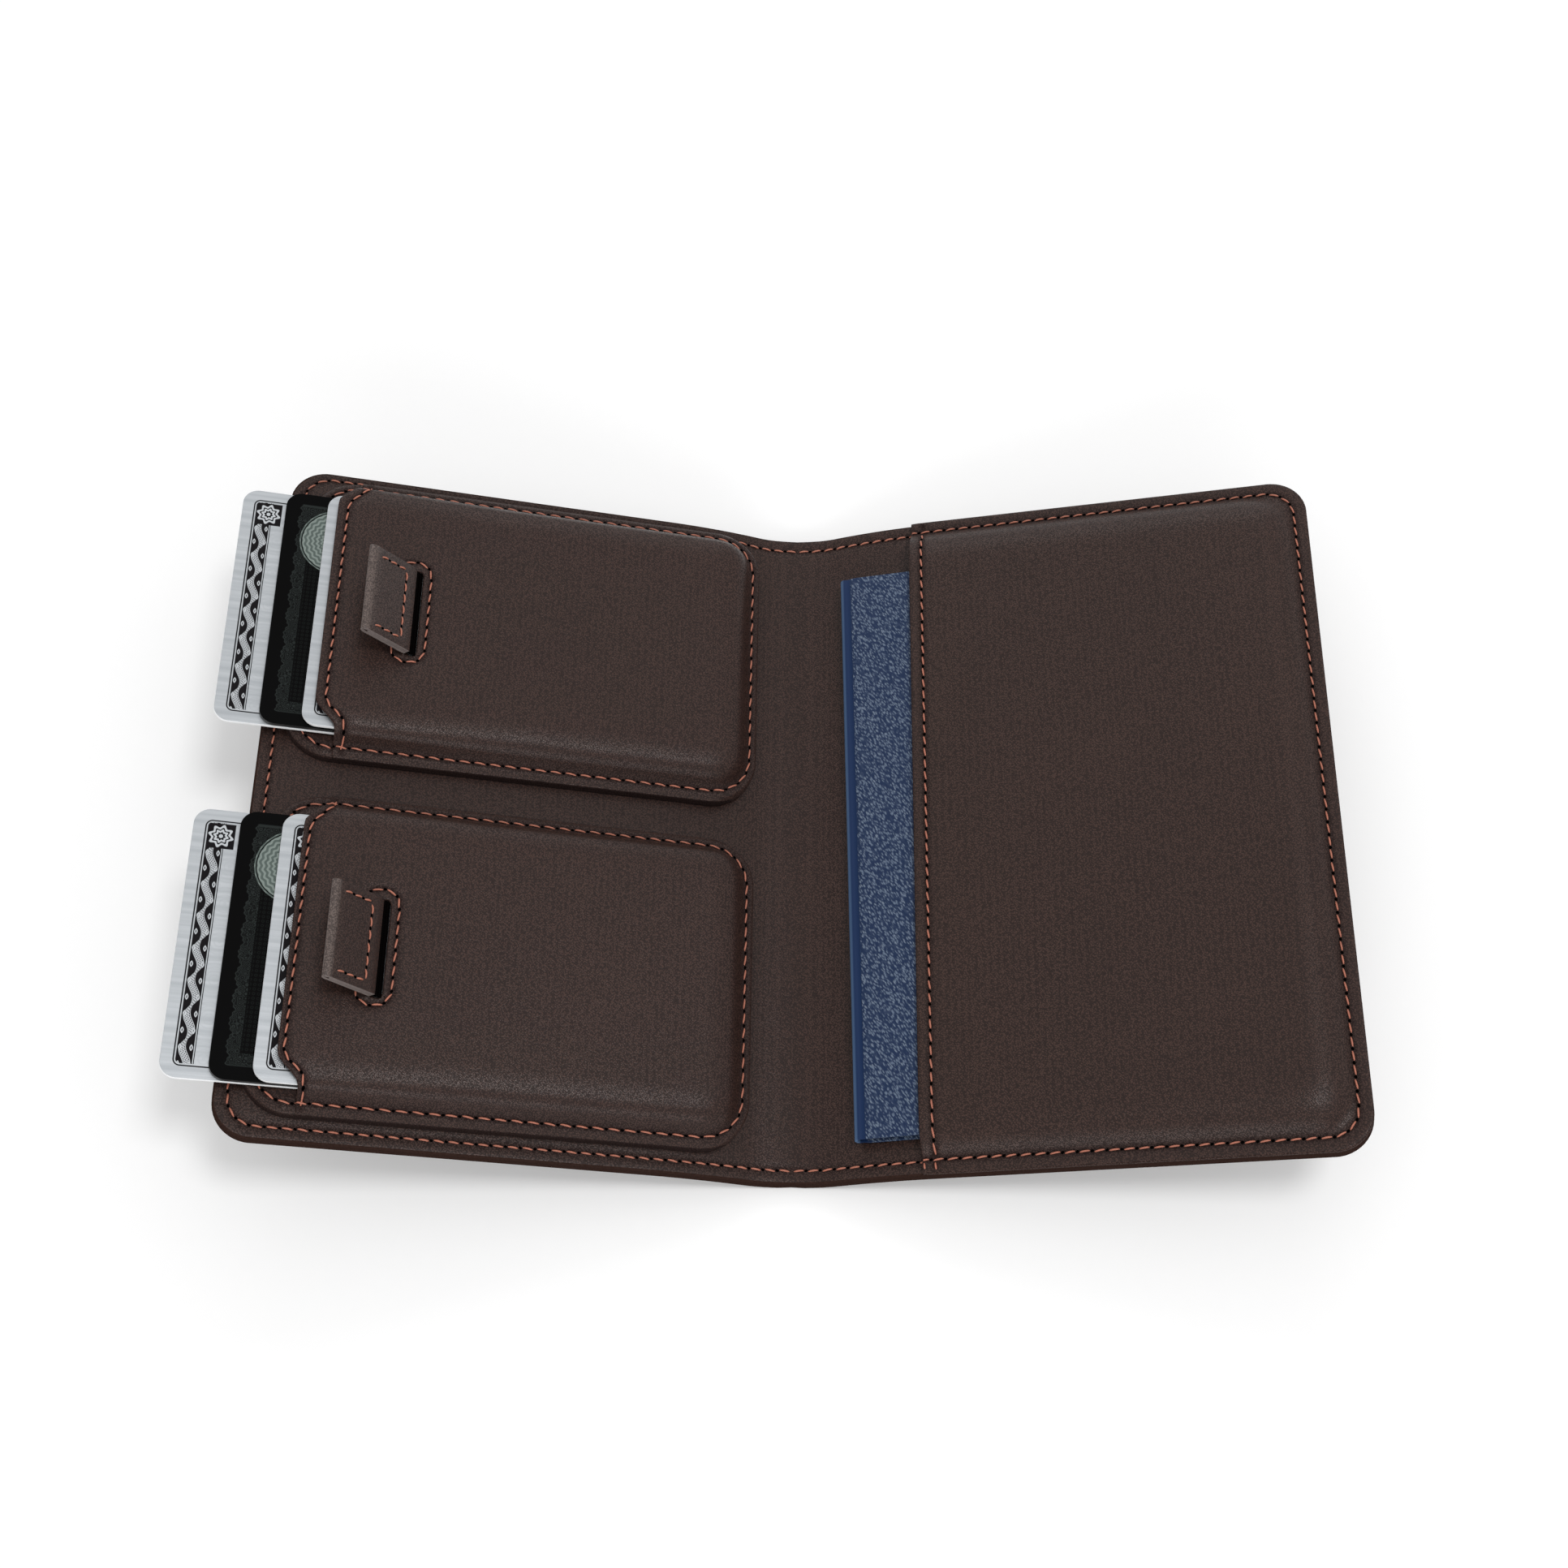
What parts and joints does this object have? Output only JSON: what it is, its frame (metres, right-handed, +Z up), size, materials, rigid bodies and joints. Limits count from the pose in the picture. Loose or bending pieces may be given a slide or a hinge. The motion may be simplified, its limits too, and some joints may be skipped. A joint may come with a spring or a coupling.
{
  "type": "passport holder",
  "caption": "Leather bifold passport holder with a sleeve for a passport and detachable magnetic card wallets with pull tabs, shown open with passport and cards.",
  "frame": {"origin": "middle of the flat underside of the spine, on the surface it stands on", "axes": "+X across the open holder towards the passport panel, +Y along the spine towards its far end, +Z up"},
  "size_m": [0.2205, 0.1456, 0.0407],
  "materials": {
    "outer_leather": "fine pebble grain, satin",
    "lining_leather": "fine pebble grain, satin",
    "sleeve_leather": "fine pebble grain, satin",
    "wallet_leather": "fine pebble grain, satin",
    "tab_leather": "fine pebble grain, satin",
    "strap_ribbon": "woven, matt",
    "stiffener_board": "matt",
    "core_plastic": "matt",
    "disc_steel": "zinc plated",
    "magnet_metal": "nickel plated",
    "silver_card": "brushed",
    "black_card": "satin black",
    "passport_leatherette": "embossed leatherette",
    "passport_paper": "matt"
  },
  "bodies": {
    "spine": {"spine_cover": "outer_leather", "spine_lining": "lining_leather"},
    "left_panel": {"left_cover": "outer_leather", "left_board": "stiffener_board", "left_lining": "lining_leather", "upper_steel_disc": "disc_steel", "lower_steel_disc": "disc_steel"},
    "right_panel": {"right_cover": "outer_leather", "right_board": "stiffener_board", "right_lining": "lining_leather", "passport_sleeve": "sleeve_leather"},
    "passport": {"passport_cover": "passport_leatherette", "passport_pages": "passport_paper"},
    "upper_wallet": {"upper_base_back": "wallet_leather", "upper_base_core": "core_plastic", "upper_magnet_ring": "magnet_metal", "upper_base_face": "wallet_leather", "upper_pocket_front": "wallet_leather", "upper_strap": "strap_ribbon"},
    "upper_card_1": {"upper_card_1": "silver_card"},
    "upper_card_2": {"upper_card_2": "black_card"},
    "upper_card_3": {"upper_card_3": "silver_card"},
    "upper_strap_end": {"upper_strap_neck": "strap_ribbon"},
    "upper_pull_tab": {"upper_pull_tab": "tab_leather"},
    "lower_wallet": {"lower_base_back": "wallet_leather", "lower_base_core": "core_plastic", "lower_magnet_ring": "magnet_metal", "lower_base_face": "wallet_leather", "lower_pocket_front": "wallet_leather", "lower_strap": "strap_ribbon"},
    "lower_card_1": {"lower_card_1": "silver_card"},
    "lower_card_2": {"lower_card_2": "black_card"},
    "lower_card_3": {"lower_card_3": "silver_card"},
    "lower_strap_end": {"lower_strap_neck": "strap_ribbon"},
    "lower_pull_tab": {"lower_pull_tab": "tab_leather"}
  },
  "joints": [
    {"name": "left_fold", "type": "hinge", "parent": "spine", "child": "left_panel", "pos_m": [-0.009, 0, 0.0043], "axis": [0, -1, 0], "range_deg": [-76.6, 13.4]},
    {"name": "right_fold", "type": "hinge", "parent": "spine", "child": "right_panel", "pos_m": [0.009, 0, 0.0043], "axis": [0, 1, 0], "range_deg": [-77.6, 12.4]},
    {"name": "passport_slide", "type": "slide", "parent": "right_panel", "child": "passport", "axis": [-0.9767, 0, -0.2147], "range_m": [-0.0016, 0.014]},
    {"name": "upper_wallet_lift", "type": "slide", "parent": "left_panel", "child": "upper_wallet", "axis": [0.2317, 0, 0.9728], "range_m": [0, 0.03]},
    {"name": "upper_card_1_slide", "type": "slide", "parent": "upper_wallet", "child": "upper_card_1", "axis": [-0.9728, 0, 0.2317], "range_m": [-0.0184, 0.0667]},
    {"name": "upper_card_2_slide", "type": "slide", "parent": "upper_wallet", "child": "upper_card_2", "axis": [-0.9728, 0, 0.2317], "range_m": [-0.0097, 0.0754]},
    {"name": "upper_card_3_slide", "type": "slide", "parent": "upper_wallet", "child": "upper_card_3", "axis": [-0.9728, 0, 0.2317], "range_m": [-0.0019, 0.0832]},
    {"name": "upper_tab_lift", "type": "hinge", "parent": "upper_wallet", "child": "upper_strap_end", "pos_m": [-0.07808, 0.03665, 0.02999], "axis": [0, 1, 0], "range_deg": [-38, 52]},
    {"name": "upper_tab_pull", "type": "slide", "parent": "upper_strap_end", "child": "upper_pull_tab", "axis": [-0.6239, 0, 0.7815], "range_m": [0, 0.012], "deforming": ["upper_strap"]},
    {"name": "lower_wallet_lift", "type": "slide", "parent": "left_panel", "child": "lower_wallet", "axis": [0.2317, 0, 0.9728], "range_m": [0, 0.03]},
    {"name": "lower_card_1_slide", "type": "slide", "parent": "lower_wallet", "child": "lower_card_1", "axis": [-0.9728, 0, 0.2317], "range_m": [-0.0184, 0.0667]},
    {"name": "lower_card_2_slide", "type": "slide", "parent": "lower_wallet", "child": "lower_card_2", "axis": [-0.9728, 0, 0.2317], "range_m": [-0.0097, 0.0754]},
    {"name": "lower_card_3_slide", "type": "slide", "parent": "lower_wallet", "child": "lower_card_3", "axis": [-0.9728, 0, 0.2317], "range_m": [-0.0019, 0.0832]},
    {"name": "lower_tab_lift", "type": "hinge", "parent": "lower_wallet", "child": "lower_strap_end", "pos_m": [-0.07808, -0.03665, 0.02999], "axis": [0, 1, 0], "range_deg": [-38, 52]},
    {"name": "lower_tab_pull", "type": "slide", "parent": "lower_strap_end", "child": "lower_pull_tab", "axis": [-0.6239, 0, 0.7815], "range_m": [0, 0.012], "deforming": ["lower_strap"]}
  ]
}
